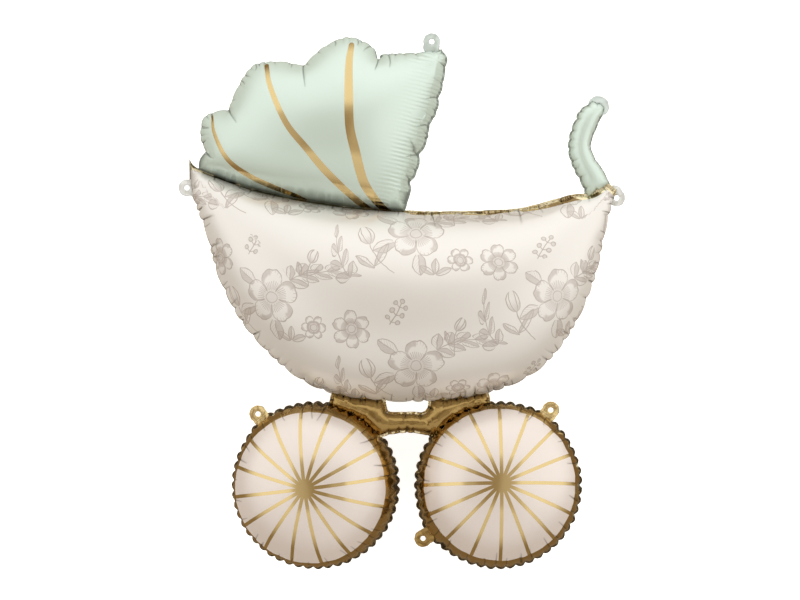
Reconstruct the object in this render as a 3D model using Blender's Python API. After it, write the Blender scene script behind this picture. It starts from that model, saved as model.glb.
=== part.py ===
"""A foil balloon in the shape of a baby carriage, blown up and lying on its back.

It is one sealed envelope. Two printed sheets are heat-sealed along a flat seam, and
inner seams part the hood, the basket, the handle, the axle and the two wheels. Round
tabs with a hole stand out of the seam, to tie the balloon up by.

Sizes are metres. +X runs from the hood's back towards the handle, +Y from the wheels
towards the hood, and +Z comes out of the front sheet. The basket's underside has a
small flat where the balloon lies on it.
"""

import math

import bmesh
import bpy
import numpy as np
from mathutils import Vector
from mathutils.geometry import delaunay_2d_cdt

NAME = "carriage_balloon"

# Basket: the half-moon body. Sizes of outlines are measured over the flat seam
BASKET_WIDTH = 0.7060
BASKET_HEIGHT = 0.3990
BASKET_DEPTH = 0.108  # from the seam to the highest point of a sheet
BASKET_SEAM = 0.0060  # how wide the flat seam is

# Hood: measured from its foot, on the basket's upper edge
HOOD_WIDTH = 0.4125
HOOD_HEIGHT = 0.2904
HOOD_DEPTH = 0.086
HOOD_FOOT_X = 0.0040  # from the basket's middle
HOOD_SEAM = 0.0060

# Handle: a blown-up strip that bends back over the basket
HANDLE_HEIGHT = 0.1570
HANDLE_WIDTH = 0.0330
HANDLE_FOOT_X = 0.3195
HANDLE_SEAM = 0.0040

# Wheels: the radius runs to the seam's inner line
WHEEL_RADIUS = 0.1310
WHEEL_DEPTH = 0.078
WHEEL_SEAM = 0.0080
WHEEL_SPREAD = 0.3020  # between the wheels' middles
WHEEL_DROP = 0.1386  # from the basket's lowest point down to the wheels' middles
SCALLOPS = 51
SCALLOP_DEPTH = 0.0016
CARRIAGE_MIDDLE_X = 0.0076  # the wheels' middle, from the basket's middle

# Axle: fills the space between the wheels and the basket, with a slot over its bar
AXLE_DEPTH = 0.019
AXLE_SEAM = 0.0045
BAR_WIDTH = 0.0355  # of the bar over its seams, at its narrowest
BAR_BOW = 0.0098  # how far the bar's underside arches up
SLOT_WIDTH = 0.0680
SLOT_HEIGHT = 0.0157  # from the basket's lowest point down to the bar
ARM_REACH = 0.1370  # from the carriage's middle to the tip of an arm

# Tabs: round, each with a hole to tie a ribbon through
TAB_RADIUS = 0.0142
TAB_HOLE = 0.0042  # radius of the hole
TAB_GAP = 0.0090  # from where a body's tab springs to the near side of its hole
WHEEL_TAB_GAP = 0.0140
TAB_ROOT = 0.0040  # how far a tab reaches back under the seam

FOIL = 0.0006  # thickness of the sealed seams and tabs
LAP = 0.00004  # each further seam is this much thicker, so no two of their faces share a plane
REST_FLAT = 0.0060  # how far the basket's underside is pressed flat
LAP_WIDTH = 0.0030  # how far a seam reaches over the next piece's seam

# Spacing of the mesh along an outline
BASKET_STEP = 0.0265
HOOD_STEP = 0.0185
WHEEL_STEP = 0.0260
TUBE_STEP = 0.0150
AXLE_STEP = 0.0105
TAB_SIDES = 14

# The basket's outline, as shares of its width and height from the middle of its foot
BASKET_TOP = (
    (-0.499, 1.008),
    (-0.478, 0.967),
    (-0.394, 0.909),
    (-0.312, 0.866),
    (-0.144, 0.814),
    (0.022, 0.790),
    (0.130, 0.789),
    (0.223, 0.794),
    (0.291, 0.807),
    (0.389, 0.856),
    (0.500, 0.877),
)
BASKET_BELOW = (
    (0.500, 0.877),
    (0.476, 0.702),
    (0.450, 0.504),
    (0.401, 0.306),
    (0.321, 0.132),
    (0.207, 0.037),
    (0.060, 0.000),
    (-0.080, 0.006),
    (-0.185, 0.044),
    (-0.272, 0.132),
    (-0.368, 0.306),
    (-0.429, 0.504),
    (-0.461, 0.702),
    (-0.495, 0.870),
    (-0.499, 1.008),
)

# The hood's outline, as shares of its width and height from its foot. Each stretch ends
# in a corner: the front edge, then five lobes from the front to the back
HOOD_FRONT = (
    (0.000, 0.000),
    (0.017, 0.125),
    (0.058, 0.285),
    (0.094, 0.440),
    (0.132, 0.620),
    (0.158, 0.784),
    (0.172, 0.875),
    (0.152, 0.934),
)
HOOD_LOBES = (
    ((0.152, 0.934), (0.064, 0.912), (-0.020, 0.908), (-0.092, 0.900), (-0.106, 0.875)),
    (
        (-0.106, 0.875),
        (-0.122, 0.935),
        (-0.168, 0.978),
        (-0.228, 1.000),
        (-0.284, 0.976),
        (-0.344, 0.926),
        (-0.408, 0.838),
    ),
    (
        (-0.408, 0.838),
        (-0.472, 0.857),
        (-0.544, 0.860),
        (-0.606, 0.840),
        (-0.652, 0.765),
        (-0.692, 0.650),
        (-0.708, 0.588),
    ),
    (
        (-0.708, 0.588),
        (-0.756, 0.576),
        (-0.802, 0.548),
        (-0.820, 0.480),
        (-0.818, 0.410),
        (-0.800, 0.347),
    ),
    ((-0.800, 0.347), (-0.822, 0.300), (-0.828, 0.250)),
)

# The handle's middle line, as shares of its height from its foot, and its width there
HANDLE_LINE = (
    (0.040, -0.060, 1.16),
    (-0.037, 0.126, 1.10),
    (-0.116, 0.253, 1.02),
    (-0.165, 0.379, 0.98),
    (-0.172, 0.470, 0.96),
    (-0.147, 0.590, 0.98),
    (-0.095, 0.710, 0.98),
    (-0.030, 0.835, 0.94),
    (0.036, 0.943, 0.76),
)

# A tab's middle on a wheel: angle from +X, in degrees
WHEEL_TABS = {"left": (128.7,), "right": (55.4, 214.9)}
HANDLE_TAB_FOLD = 62.0  # degrees that the handle's tab is folded back

# Colours of the printed film: base colour, metallic share and roughness
CREAM_FOIL = ((0.86, 0.82, 0.76, 1.0), 0.2, 0.34)
MINT_FOIL = ((0.62, 0.74, 0.67, 1.0), 0.3, 0.32)
GOLD_FOIL = ((0.80, 0.58, 0.26, 1.0), 1.0, 0.20)


def spline(points, step):
    """Points about a step apart on a smooth line through the given ones, both ends included."""
    points = np.asarray(points, float)
    padded = np.vstack([2 * points[0] - points[1], points, 2 * points[-1] - points[-2]])
    t = np.linspace(0, 1, 24, endpoint=False)[:, None]
    dense = []
    for p0, p1, p2, p3 in zip(padded, padded[1:], padded[2:], padded[3:]):
        bend = (2 * p0 - 5 * p1 + 4 * p2 - p3) * t**2 + (3 * (p1 - p2) + p3 - p0) * t**3
        dense.append(0.5 * (2 * p1 + (p2 - p0) * t + bend))
    dense = np.vstack([*dense, points[-1:]])
    along = np.insert(np.cumsum(np.linalg.norm(np.diff(dense[:, :2], axis=0), axis=1)), 0, 0)
    count = max(2, round(along[-1] / step) + 1)
    wanted = np.linspace(0, along[-1], count)
    return np.column_stack([np.interp(wanted, along, column) for column in dense.T])


def closed_outline(stretches):
    """One loop out of stretches that meet in corners."""
    return np.vstack([stretch[:-1] for stretch in stretches])


def outward(loop):
    """The outward direction at each point of an anticlockwise loop."""
    along = np.roll(loop, -1, axis=0) - np.roll(loop, 1, axis=0)
    normal = np.column_stack([along[:, 1], -along[:, 0]])
    return normal / np.linalg.norm(normal, axis=1)[:, None]


def anticlockwise(loop):
    x, y = loop.T
    area = np.sum(x * np.roll(y, -1) - y * np.roll(x, -1))
    return loop if area > 0 else loop[::-1]


def swell(points, triangles, rim):
    """How high each point of a flat sheet rises when it is blown up, from 0 on the rim to 1.

    It solves the membrane equation on the triangles. The square root makes the sheet
    leave its seam as steeply as the side of a tube does.
    """
    count = len(points)
    stiffness = np.zeros((count, count))
    load = np.zeros(count)
    for a, b, c in triangles:
        corners = points[[a, b, c]]
        edges = np.roll(corners, -1, axis=0) - np.roll(corners, 1, axis=0)
        area = abs(np.cross(edges[0], edges[1])) / 2
        stiffness[np.ix_((a, b, c), (a, b, c))] += edges @ edges.T / (4 * area)
        load[[a, b, c]] += area / 3
    free = np.setdiff1d(np.arange(count), rim)
    height = np.zeros(count)
    height[free] = np.linalg.solve(stiffness[np.ix_(free, free)], load[free])
    return np.sqrt(np.clip(height / height.max(), 0, 1))


def lens(name, points, faces, rim, seam, depth, thickness, foil):
    """A closed solid of two sheets that swell to either side of a seam that stays flat.

    The rim is the seam's outer edge, in order, and the seam lists every point that stays down.
    """
    triangles = []
    for face in faces:
        triangles += [(face[0], b, c) for b, c in zip(face[1:], face[2:])]
    height = thickness / 2 + depth * swell(points, triangles, seam)
    count = len(points)
    vertices = [(x, y, z) for (x, y), z in zip(points, height)]
    vertices += [(x, y, -z) for (x, y), z in zip(points, height)]
    under = [tuple(count + i for i in reversed(face)) for face in faces]
    edge = [(i, j, count + j, count + i) for i, j in zip(rim, np.roll(rim, -1))]
    mesh = bpy.data.meshes.new(name)
    mesh.from_pydata(vertices, [], faces + under + edge)
    return add_piece(name, mesh, foil)


def pillow(name, loop, seam_edge, step, depth, thickness, foil):
    """A lens over an outline of any shape, meshed with triangles about a step wide.

    The seam's outer edge has as many points as the outline, or a whole multiple of them.
    Two rows of points follow the outline, because the sheet is steepest there.
    """
    spare = []
    for inset in (0.16 * step, 0.50 * step):
        row = loop - outward(loop) * inset
        spare.append(row[inside(row, loop) & (gap_to(row, loop) > 0.8 * inset)])
    low, high = loop.min(axis=0), loop.max(axis=0)
    x, y = np.meshgrid(np.arange(low[0], high[0], step), np.arange(low[1], high[1], 0.87 * step))
    x[1::2] += step / 2
    grid = np.column_stack([x.ravel(), y.ravel()])
    grid = grid[inside(grid, loop)]
    spare.append(grid[gap_to(grid, loop) > 1.1 * step])
    points = np.vstack([seam_edge, loop, *spare])
    first = len(seam_edge)
    borders = []
    for start, size in ((0, first), (first, len(loop))):
        borders += [(start + i, start + (i + 1) % size) for i in range(size)]
    made = delaunay_2d_cdt([Vector(point) for point in points], borders, [], 1, 1e-9)
    faces = [tuple(face) for face in made[2]]
    rim, seam = np.arange(first), np.arange(first + len(loop))
    return lens(name, points, faces, rim, seam, depth, thickness, foil)


def inside(points, loop):
    """Which points lie inside a loop: its edges turn once around them."""
    rays = loop - points[:, None]
    turn = np.arctan2(rays[..., 1], rays[..., 0])
    step = np.roll(turn, -1, axis=1) - turn
    return np.abs(np.sum((step + math.pi) % (2 * math.pi) - math.pi, axis=1)) > math.pi


def gap_to(points, loop):
    """How far each point is from a loop's nearest edge."""
    edge = np.roll(loop, -1, axis=0) - loop
    ray = points[:, None] - loop
    share = np.clip(np.sum(ray * edge, axis=2) / np.sum(edge * edge, axis=1), 0, 1)
    return np.linalg.norm(ray - share[..., None] * edge, axis=2).min(axis=1)


def ladder(line):
    """Left and right edges of a strip along a line of (x, y, width) points."""
    middle, half = line[:, :2], line[:, 2:] / 2
    along = np.gradient(middle, axis=0)
    side = np.column_stack([-along[:, 1], along[:, 0]])
    side /= np.linalg.norm(side, axis=1)[:, None]
    return middle + side * half, middle - side * half


def tube(name, line, foil):
    """A blown-up strip along a line of (x, y, width) points."""
    path = bpy.data.curves.new(name, "CURVE")
    path.dimensions = "3D"
    path.bevel_depth = 1.0
    path.bevel_resolution = 2
    path.use_fill_caps = True
    run = path.splines.new("POLY")
    run.points.add(len(line) - 1)
    for point, (x, y, width) in zip(run.points, line):
        point.co = (x, y, 0, 1)
        point.radius = width / 2
    return add_piece(name, curve_mesh(name, path), foil)


def curve_mesh(name, curve):
    drawn = bpy.data.objects.new(name + "_curve", curve)
    pieces.objects.link(drawn)
    bpy.context.view_layer.update()
    mesh = bpy.data.meshes.new_from_object(drawn.evaluated_get(bpy.context.evaluated_depsgraph_get()))
    bpy.data.objects.remove(drawn)
    mesh.name = name
    return mesh


def add_piece(name, mesh, foil):
    mesh.materials.clear()
    mesh.materials.append(foil)
    piece = bpy.data.objects.new(name, mesh)
    piece.hide_render = True
    piece.display_type = "WIRE"
    pieces.objects.link(piece)
    face_outwards(mesh)
    return piece


def face_outwards(mesh):
    form = bmesh.new()
    form.from_mesh(mesh)
    bmesh.ops.remove_doubles(form, verts=form.verts, dist=1e-7)
    bmesh.ops.recalc_face_normals(form, faces=form.faces)
    if form.calc_volume(signed=True) < 0:
        bmesh.ops.reverse_faces(form, faces=form.faces)
    form.to_mesh(mesh)
    form.free()


def plate(name, loops, thickness, foil):
    """A flat piece of sealed foil with the given outline, and holes if there are more loops."""
    outline = bpy.data.curves.new(name, "CURVE")
    outline.dimensions = "2D"
    outline.fill_mode = "BOTH"
    outline.extrude = thickness / 2
    for loop in loops:
        run = outline.splines.new("POLY")
        run.points.add(len(loop) - 1)
        for point, (x, y) in zip(run.points, loop):
            point.co = (x, y, 0, 1)
        run.use_cyclic_u = True
    return add_piece(name, curve_mesh(name, outline), foil)


def circle(middle, radius, sides, start=0.0, turn=360.0):
    whole = turn == 360.0
    angles = np.radians(start + np.linspace(0, turn, sides, endpoint=not whole))
    return np.asarray(middle) + radius * np.column_stack([np.cos(angles), np.sin(angles)])


def tab(name, seat, angle, gap=TAB_GAP, fold=0.0, foil=None):
    """A round tab with a hole. It springs from its seat and points at the angle."""
    middle = gap + TAB_HOLE
    rim = circle((middle, 0), TAB_RADIUS, TAB_SIDES, -115, 230)
    root = [(-TAB_ROOT, TAB_RADIUS), (-TAB_ROOT, -TAB_RADIUS)]
    eye = circle((middle, 0), TAB_HOLE, TAB_SIDES)
    piece = plate(name, [np.vstack([rim, root]), eye], FOIL + LAP, foil)
    piece.location = (*seat, 0)
    piece.rotation_euler = (0, math.radians(fold), math.radians(angle))


def basket_edge(stretch, step):
    return spline(np.array(stretch) * (BASKET_WIDTH, BASKET_HEIGHT), step)


def basket_top_at(x):
    """Height of the basket's upper edge at x."""
    edge = basket_edge(BASKET_TOP, BASKET_STEP / 4)
    return np.interp(x, edge[:, 0], edge[:, 1])


def basket_bottom_at(x):
    """Height of the basket's lower edge at x."""
    edge = basket_edge(BASKET_BELOW, BASKET_STEP / 4)
    return np.interp(-x, -edge[:, 0], edge[:, 1])


def add_basket():
    edge = closed_outline([basket_edge(BASKET_TOP, BASKET_STEP), basket_edge(BASKET_BELOW, BASKET_STEP)])
    edge = anticlockwise(edge)
    loop = edge - outward(edge) * BASKET_SEAM
    pillow("basket", loop, edge, BASKET_STEP, BASKET_DEPTH, FOIL, cream)
    size = np.array([BASKET_WIDTH, BASKET_HEIGHT])
    tabs = ((BASKET_BELOW[-2], (1.2 * BASKET_SEAM, BASKET_SEAM), 180), (BASKET_BELOW[0], (-BASKET_SEAM, 0), -58))
    for name, (corner, inset, angle) in zip(("back", "front"), tabs):
        tab(f"basket_{name}_tab", np.array(corner) * size + inset, angle, foil=cream)


def hood_outline():
    """Stretches along the weld over the basket, the front edge and the five lobes."""
    size = np.array([HOOD_WIDTH, HOOD_HEIGHT])
    foot = np.array([HOOD_FOOT_X, basket_top_at(HOOD_FOOT_X) - LAP_WIDTH])
    front = foot + np.array(HOOD_FRONT) * size
    lobes = [foot + np.array(lobe) * size for lobe in HOOD_LOBES]
    weld_x = np.linspace(lobes[-1][-1][0], foot[0], 7)
    weld = np.column_stack([weld_x, basket_top_at(weld_x) - LAP_WIDTH])
    back = np.vstack([lobes[-1][:-1], weld[0]])
    return [weld, front, *lobes[:-1], back]


def add_hood():
    stretches = hood_outline()
    edge = anticlockwise(closed_outline([spline(stretch, HOOD_STEP) for stretch in stretches]))
    loop = edge - outward(edge) * HOOD_SEAM
    pillow("hood", loop, edge, HOOD_STEP, HOOD_DEPTH, FOIL + 2 * LAP, mint)
    tab("hood_tab", stretches[2][0] - (1.35 * TAB_RADIUS, HOOD_SEAM / 2), 86, foil=mint)


def add_handle():
    foot = np.array([HANDLE_FOOT_X, basket_top_at(HANDLE_FOOT_X)])
    line = np.array(HANDLE_LINE) * (HANDLE_HEIGHT, HANDLE_HEIGHT, HANDLE_WIDTH)
    line[:, :2] += foot
    line = spline(line, TUBE_STEP)
    tube("handle", line, mint)
    wide = line + (0, 0, 2 * HANDLE_SEAM)
    beyond = line[-1] - line[-2]
    wide = np.vstack([wide, wide[-1] + beyond * HANDLE_SEAM / np.linalg.norm(beyond[:2])])
    left, right = ladder(wide)
    plate("handle_seam", [np.vstack([left, right[::-1]])], FOIL + 2 * LAP, mint)
    angle = math.degrees(math.atan2(beyond[1], beyond[0]))
    tab("handle_tab", line[-1, :2], angle, fold=HANDLE_TAB_FOLD, foil=mint)


def wheel_middle(side):
    """The middle of the wheel on the side of -X (-1) or +X (1)."""
    return np.array([CARRIAGE_MIDDLE_X + side * WHEEL_SPREAD / 2, -WHEEL_DROP])


def add_wheel(name, side):
    middle = wheel_middle(side)
    loop = circle(middle, WHEEL_RADIUS, SCALLOPS)
    bulge = np.tile([0, SCALLOP_DEPTH], SCALLOPS)[:, None]
    edge = middle + circle((0, 0), 1, 2 * SCALLOPS) * (WHEEL_RADIUS + WHEEL_SEAM - SCALLOP_DEPTH + bulge)
    pillow(name, loop, edge, WHEEL_STEP, WHEEL_DEPTH, FOIL, gold)
    for number, angle in enumerate(WHEEL_TABS[name.split("_")[0]]):
        seat = circle(middle, WHEEL_RADIUS + WHEEL_SEAM / 3, 1, angle)[0]
        tab(f"{name}_tab_{number}", seat, angle, gap=WHEEL_TAB_GAP, foil=gold)


def axle_outline():
    """Half of the axle's edge, right of the carriage's middle, from the bar's underside up."""
    wheel = wheel_middle(1) - (CARRIAGE_MIDDLE_X, 0)
    radius = WHEEL_RADIUS - LAP_WIDTH
    under = -SLOT_HEIGHT - BAR_WIDTH
    low = under - BAR_BOW
    start = math.degrees(math.atan2(low - wheel[1], -math.sqrt(radius**2 - (low - wheel[1]) ** 2)))
    tip = math.degrees(math.acos((ARM_REACH - wheel[0]) / radius))
    meets = wheel + radius * np.array([math.cos(math.radians(start)), math.sin(math.radians(start))])
    below = [(0, under), (meets[0] * 0.5, under - BAR_BOW * 0.3), tuple(meets)]
    beside = circle(wheel, radius, 6, start, tip - start)
    lap_x = np.array([ARM_REACH, 0.75 * ARM_REACH, 0.5 * ARM_REACH, SLOT_WIDTH / 2])
    above = np.column_stack([lap_x, basket_bottom_at(CARRIAGE_MIDDLE_X + lap_x) + BASKET_SEAM])
    slot = [above[-1], (SLOT_WIDTH / 2, -SLOT_HEIGHT * 0.3), (SLOT_WIDTH * 0.4, -SLOT_HEIGHT), (0, -SLOT_HEIGHT)]
    return [below, beside, np.vstack([beside[-1], above[0]]), above, slot]


def add_axle():
    half = np.vstack([spline(stretch, AXLE_STEP)[:-1] for stretch in axle_outline()])
    half = np.vstack([half, (0, -SLOT_HEIGHT)])
    edge = np.vstack([half, (half * (-1, 1))[-2:0:-1]]) + (CARRIAGE_MIDDLE_X, 0)
    loop = edge - outward(edge) * AXLE_SEAM
    pillow("axle", loop, edge, AXLE_STEP, AXLE_DEPTH, FOIL + 2 * LAP, gold)


def floor_cutter():
    """A block whose top is the floor that the basket's underside is pressed against."""
    block = bmesh.new()
    bmesh.ops.create_cube(block, size=1)
    span = 2 * (BASKET_WIDTH + BASKET_HEIGHT)
    bmesh.ops.scale(block, vec=(span, span, BASKET_DEPTH), verts=block.verts)
    bmesh.ops.translate(block, vec=(0, 0, REST_FLAT - 1.5 * BASKET_DEPTH), verts=block.verts)
    mesh = bpy.data.meshes.new("floor_cutter")
    block.to_mesh(mesh)
    block.free()
    cutter = bpy.data.objects.new("floor_cutter", mesh)
    cutter.hide_render = True
    cutter.display_type = "WIRE"
    cutters.objects.link(cutter)
    return cutter


def join_pieces():
    """One solid out of all pieces, cut flat where it lies and moved to stand over the origin."""
    basket, *others = pieces.objects
    cutter = floor_cutter()
    balloon = bpy.data.objects.new(NAME, basket.data.copy())
    collection.objects.link(balloon)
    for tool, operation in [(cutter, "DIFFERENCE"), *((piece, "UNION") for piece in others)]:
        joint = balloon.modifiers.new(tool.name, "BOOLEAN")
        joint.operation = operation
        joint.object = tool
        joint.material_mode = "TRANSFER"
    bpy.context.view_layer.update()
    shape = balloon.evaluated_get(bpy.context.evaluated_depsgraph_get()).to_mesh()
    corners = np.array([vertex.co for vertex in shape.vertices])
    low, high = corners.min(axis=0), corners.max(axis=0)
    for piece in [basket, *others, cutter]:
        piece.parent = balloon
    balloon.location = (-(low[0] + high[0]) / 2, -(low[1] + high[1]) / 2, -low[2])
    return balloon


def foil_material(name, look):
    material = bpy.data.materials.new(name)
    material.use_nodes = True
    shader = material.node_tree.nodes["Principled BSDF"]
    for socket, value in zip(("Base Color", "Metallic", "Roughness"), look):
        shader.inputs[socket].default_value = value
    return material


for existing in list(bpy.data.objects):
    bpy.data.objects.remove(existing)
collection = bpy.data.collections.new(NAME)
pieces = bpy.data.collections.new("chambers_and_seams")
cutters = bpy.data.collections.new("cutters")
for group in (collection, pieces, cutters):
    bpy.context.scene.collection.children.link(group)
cream = foil_material("cream_foil", CREAM_FOIL)
mint = foil_material("mint_foil", MINT_FOIL)
gold = foil_material("gold_foil", GOLD_FOIL)

add_basket()
add_hood()
add_handle()
add_wheel("left_wheel", -1)
add_wheel("right_wheel", 1)
add_axle()
carriage = join_pieces()
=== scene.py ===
"""Looks of the baby carriage foil balloon, which lies on its back and is seen from above.

Each chamber is one closed mesh of two thin films that are sealed round its edge. The films
swell like a membrane under pressure, and the seams pucker, scallop and ruffle. Prints are
drawn by materials in flat-sheet coordinates, so they bend round the film as a print does.

Sizes are metres, in the frame of the solid model: +X towards the handle, +Y towards the
hood, +Z up, out of the front sheet.
"""

import math

import bmesh
import bpy
import numpy as np
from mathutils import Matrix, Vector, kdtree
from mathutils.geometry import delaunay_2d_cdt

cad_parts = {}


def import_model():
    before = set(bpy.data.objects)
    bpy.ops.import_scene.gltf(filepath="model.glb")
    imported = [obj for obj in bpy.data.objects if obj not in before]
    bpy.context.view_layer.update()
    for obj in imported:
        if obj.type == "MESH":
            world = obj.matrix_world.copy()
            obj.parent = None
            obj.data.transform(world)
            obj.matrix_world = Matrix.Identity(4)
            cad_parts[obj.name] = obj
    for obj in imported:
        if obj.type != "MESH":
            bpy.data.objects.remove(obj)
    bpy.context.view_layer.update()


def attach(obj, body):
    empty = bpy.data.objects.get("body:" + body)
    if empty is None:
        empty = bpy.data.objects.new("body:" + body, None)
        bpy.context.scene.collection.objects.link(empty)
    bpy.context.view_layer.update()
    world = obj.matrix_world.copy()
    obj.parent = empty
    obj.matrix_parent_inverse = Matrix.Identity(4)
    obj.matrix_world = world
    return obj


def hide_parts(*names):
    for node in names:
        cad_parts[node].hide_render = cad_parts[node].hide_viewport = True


NODE = "carriage_balloon"

# Where the solid stands in the frame: the middle of the basket's foot, and the seam's height
FOOT = np.array([0.00067, -0.16542])
SEAM_Z = 0.102
FILM = 0.00030  # both films together, at a seam

# Sizes of the chambers, as in the solid. Outlines are measured over the flat seam
BASKET_SIZE = np.array([0.7060, 0.3990])
BASKET_DEPTH = 0.108
BASKET_SEAM = 0.0060
BASKET_REST = 0.102  # the floor is this far below the seam
HOOD_SIZE = np.array([0.4125, 0.2904])
HOOD_DEPTH = 0.086
HOOD_FOOT_X = 0.0040
HOOD_SEAM = 0.0060
HANDLE_HEIGHT = 0.1570
HANDLE_WIDTH = 0.0330
HANDLE_DEPTH = 0.0165
HANDLE_FOOT_X = 0.3195
HANDLE_SEAM = 0.0045
HANDLE_FOOT_CUT = 8  # points of its right side that the basket's corner takes
WHEEL_RADIUS = 0.1310
WHEEL_DEPTH = 0.078
WHEEL_SEAM = 0.0080
WHEEL_SPREAD = 0.3020
WHEEL_DROP = 0.1386
SCALLOPS = 51
MIDDLE_X = 0.0076
AXLE_DEPTH = 0.019
AXLE_SEAM = 0.0045
BAR_WIDTH = 0.0355
BAR_BOW = 0.0098
SLOT_WIDTH = 0.0680
SLOT_HEIGHT = 0.0157
ARM_REACH = 0.1370
LAP_WIDTH = 0.0030
TAB_RADIUS = 0.0142
TAB_HOLE = 0.0042
TAB_GAP = 0.0090
WHEEL_TAB_GAP = 0.0140
WHEEL_TABS = {"left_wheel": (128.7,), "right_wheel": (55.4, 214.9)}  # angles, in degrees
HANDLE_TAB = np.array([0.3240, 0.4880])
HANDLE_TAB_TURN = 58  # degrees
HANDLE_TAB_SCALE = 1.27

# Outlines, as shares of a chamber's size. A stretch starts where the one before it ends.
# The handle has its middle line instead, with its width as a share of HANDLE_WIDTH
BASKET_TOP = (
    (-0.499, 1.008), (-0.478, 0.967), (-0.394, 0.909), (-0.312, 0.866), (-0.144, 0.814),
    (0.022, 0.790), (0.130, 0.789), (0.223, 0.794), (0.291, 0.807), (0.389, 0.854),
    (0.438, 0.866), (0.474, 0.902), (0.488, 0.893), (0.500, 0.877),
)
BASKET_BELOW = (
    (0.500, 0.877), (0.476, 0.702), (0.450, 0.504), (0.401, 0.306), (0.321, 0.132),
    (0.207, 0.037), (0.060, 0.000), (-0.080, 0.006), (-0.185, 0.044), (-0.272, 0.132),
    (-0.368, 0.306), (-0.429, 0.504), (-0.461, 0.702), (-0.495, 0.870), (-0.499, 1.008),
)
HOOD_FRONT = (
    ((0.000, 0.000), (0.019, 0.077), (0.029, 0.128), (0.026, 0.166)),
    ((0.026, 0.166), (0.045, 0.203), (0.061, 0.262), (0.065, 0.330)),
    ((0.065, 0.330), (0.083, 0.368), (0.098, 0.428), (0.103, 0.496)),
    ((0.103, 0.496), (0.122, 0.534), (0.138, 0.596), (0.142, 0.656)),
    ((0.142, 0.656), (0.156, 0.712), (0.166, 0.800), (0.174, 0.875), (0.152, 0.934)),
)
HOOD_LOBES = (
    ((0.152, 0.934), (0.064, 0.912), (-0.020, 0.908), (-0.092, 0.900), (-0.106, 0.875)),
    (
        (-0.106, 0.875), (-0.122, 0.935), (-0.168, 0.978), (-0.228, 1.000), (-0.284, 0.976),
        (-0.344, 0.926), (-0.408, 0.838),
    ),
    (
        (-0.408, 0.838), (-0.472, 0.857), (-0.544, 0.860), (-0.606, 0.840), (-0.652, 0.765),
        (-0.692, 0.650), (-0.708, 0.588),
    ),
    (
        (-0.708, 0.588), (-0.756, 0.576), (-0.802, 0.548), (-0.820, 0.480), (-0.818, 0.410),
        (-0.800, 0.347),
    ),
    ((-0.800, 0.347), (-0.822, 0.300), (-0.828, 0.250)),
)
HANDLE_LINE = (
    (0.040, -0.060, 1.16), (-0.037, 0.126, 1.10), (-0.116, 0.253, 1.02), (-0.165, 0.379, 0.98),
    (-0.172, 0.470, 0.96), (-0.147, 0.590, 0.98), (-0.100, 0.700, 0.98), (-0.078, 0.755, 0.98),
    (-0.036, 0.806, 0.86), (-0.002, 0.850, 0.76), (0.018, 0.884, 0.64), (0.030, 0.910, 0.46),
)
# Creases from the notches between the hood's lobes into the film, as shares of the hood's
# size from its foot, and how deep they are
HOOD_CREASES = (
    (((-0.404, 0.833), (-0.400, 0.768), (-0.390, 0.681)), 0.0030),
    (((-0.105, 0.898), (-0.106, 0.844), (-0.119, 0.781)), 0.0030),
    (((-0.706, 0.588), (-0.687, 0.539), (-0.662, 0.488)), 0.0028),
    (((-0.800, 0.349), (-0.782, 0.316), (-0.757, 0.295)), 0.0026),
    (((-0.099, 0.884), (-0.020, 0.884), (0.060, 0.896)), 0.0018),
)
# Small ticks at the hood's edges: where they start and end
HOOD_TICKS = (
    ((-0.2796, 0.966), (-0.2760, 0.925)), ((-0.5932, 0.832), (-0.5920, 0.790)),
    ((-0.6530, 0.742), (-0.6330, 0.708)), ((-0.0644, 0.880), (-0.0600, 0.800)),
    ((0.1250, 0.647), (0.0820, 0.630)), ((0.0880, 0.490), (0.0460, 0.472)),
    ((0.0520, 0.322), (0.0020, 0.302)), ((-0.8050, 0.470), (-0.7750, 0.468)),
    ((-0.4560, 0.850), (-0.4500, 0.800)), ((-0.1900, 0.975), (-0.1880, 0.930)),
)
# Gold ribs printed on the hood: points and the rib's width in millimetres there
HOOD_RIBS = (
    (
        (-0.766, 0.540, 4.2), (-0.752, 0.432, 6.5), (-0.700, 0.290, 8.0), (-0.616, 0.199, 8.4),
        (-0.520, 0.136, 8.0), (-0.435, 0.092, 6.0), (-0.395, 0.070, 3.0),
    ),
    (
        (-0.548, 0.820, 8.0), (-0.528, 0.688, 8.8), (-0.464, 0.483, 10.2), (-0.384, 0.341, 11.5),
        (-0.307, 0.213, 12.4), (-0.204, 0.077, 11.0), (-0.143, 0.018, 8.0), (-0.113, -0.010, 6.0),
    ),
    (
        (-0.211, 0.935, 9.5), (-0.219, 0.821, 12.4), (-0.219, 0.639, 14.6), (-0.215, 0.463, 15.0),
        (-0.195, 0.332, 15.8), (-0.165, 0.170, 15.6), (-0.127, 0.082, 14.0),
        (-0.087, 0.023, 11.0), (-0.035, -0.025, 8.0),
    ),
)
# How wide the gold band along the basket's upper edge is, from left to right
RIM_BAND = np.array((
    (-0.360, 0.0110), (-0.345, 0.0060), (-0.300, 0.0040), (-0.150, 0.0055), (0.000, 0.0035),
    (0.020, 0.0075), (0.085, 0.0062), (0.093, 0.0036), (0.102, 0.0078), (0.140, 0.0092),
    (0.180, 0.0055), (0.188, 0.0030), (0.197, 0.0080), (0.240, 0.0120), (0.275, 0.0125),
    (0.310, 0.0110), (0.345, 0.0110),
))

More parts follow.
